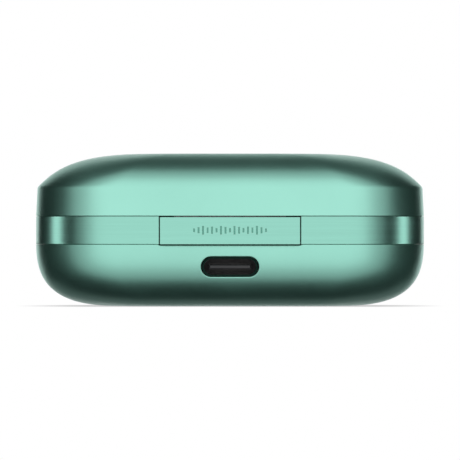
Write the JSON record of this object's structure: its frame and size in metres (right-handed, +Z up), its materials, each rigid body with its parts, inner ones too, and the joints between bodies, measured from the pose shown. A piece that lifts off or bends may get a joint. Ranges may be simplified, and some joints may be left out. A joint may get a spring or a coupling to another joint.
{
  "type": "wireless earbuds case",
  "caption": "Rounded clamshell charging case for wireless earbuds, with a hinged lid, a brushed mid band, shaped earbud pockets, sprung charging pins and a USB-C port.",
  "frame": {"origin": "centre of the flat underside, lid closed", "axes": "+Z up, -Y out of the hinge and port side, +Y out of the opening side, +X to the right seen from the hinge side"},
  "size_m": [0.0626, 0.047, 0.0246],
  "materials": {
    "satin_shell": "fine bead-blasted satin, mint green",
    "brushed_band": "brushed along its length, mint green",
    "inner_plastic": "fine spark-eroded texture, mint green",
    "magnet": "nickel plated",
    "foam": "open-cell foam",
    "bumper": "matt elastomer",
    "hinge_steel": "fine ground",
    "screw_steel": "turned",
    "spring_steel": "drawn wire",
    "black_plastic": "moulded",
    "gold_contact": "gold plated",
    "circuit_board": "solder mask",
    "port_steel": "drawn",
    "white_plastic": "moulded",
    "led_lens": "clear resin over phosphor",
    "light_pipe": "frosted front",
    "cell_pouch": "laminated pouch",
    "lead_red": "insulated wire",
    "flex_film": "polyimide film"
  },
  "bodies": {
    "base": {"base_shell": "satin_shell", "board_chips": "black_plastic", "board_screws": "screw_steel", "button_board": "circuit_board", "button_board_screws": "screw_steel", "cell_foam": "foam", "cell_leads": "lead_red", "cell_socket": "white_plastic", "earbud_tray": "inner_plastic", "flex_left": "flex_film", "flex_right": "flex_film", "hall_sensor": "black_plastic", "head_magnets": "magnet", "hinge_bracket": "hinge_steel", "hinge_bracket_screws": "screw_steel", "hinge_pin": "hinge_steel", "hinge_plate": "brushed_band", "hinge_spring_left": "spring_steel", "hinge_spring_right": "spring_steel", "indicator_board": "circuit_board", "light_guide": "light_pipe", "lipo_cell": "cell_pouch", "main_board": "circuit_board", "mid_band": "brushed_band", "pin_barrels_left": "gold_contact", "pin_barrels_right": "gold_contact", "pin_block_left": "black_plastic", "pin_block_right": "black_plastic", "pin_springs_left": "spring_steel", "pin_springs_right": "spring_steel", "rim_bumpers": "bumper", "rim_magnets": "magnet", "status_led": "led_lens", "tact_switch": "black_plastic", "usb_contacts": "gold_contact", "usb_shell": "port_steel", "usb_tongue": "black_plastic"},
    "lid": {"lid_shell": "satin_shell", "lid_liner": "inner_plastic", "lid_magnets": "magnet", "lid_foam_pad": "foam", "hinge_arm": "hinge_steel", "hinge_arm_screws": "screw_steel"},
    "button": {"pairing_button": "inner_plastic", "switch_plunger": "black_plastic"},
    "pins_left": {"charge_pins_left": "gold_contact"},
    "pins_right": {"charge_pins_right": "gold_contact"}
  },
  "joints": [
    {"name": "lid_hinge", "type": "hinge", "parent": "base", "child": "lid", "pos_m": [0, -0.0209, 0.0111], "axis": [1, 0, 0], "range_deg": [0, 105], "deforming": ["hinge_spring_left", "hinge_spring_right"]},
    {"name": "pairing_press", "type": "slide", "parent": "base", "child": "button", "axis": [0, 0, -1], "range_m": [0, 0.00025], "stiffness_N_per_m": 5, "springref_m": -0.0005},
    {"name": "pins_left_press", "type": "slide", "parent": "base", "child": "pins_left", "axis": [0, 0, -1], "range_m": [0, 0.0007], "stiffness_N_per_m": 4, "springref_m": -0.0005, "deforming": ["pin_springs_left"]},
    {"name": "pins_right_press", "type": "slide", "parent": "base", "child": "pins_right", "axis": [0, 0, -1], "range_m": [0, 0.0007], "stiffness_N_per_m": 4, "springref_m": -0.0005, "deforming": ["pin_springs_right"]}
  ]
}
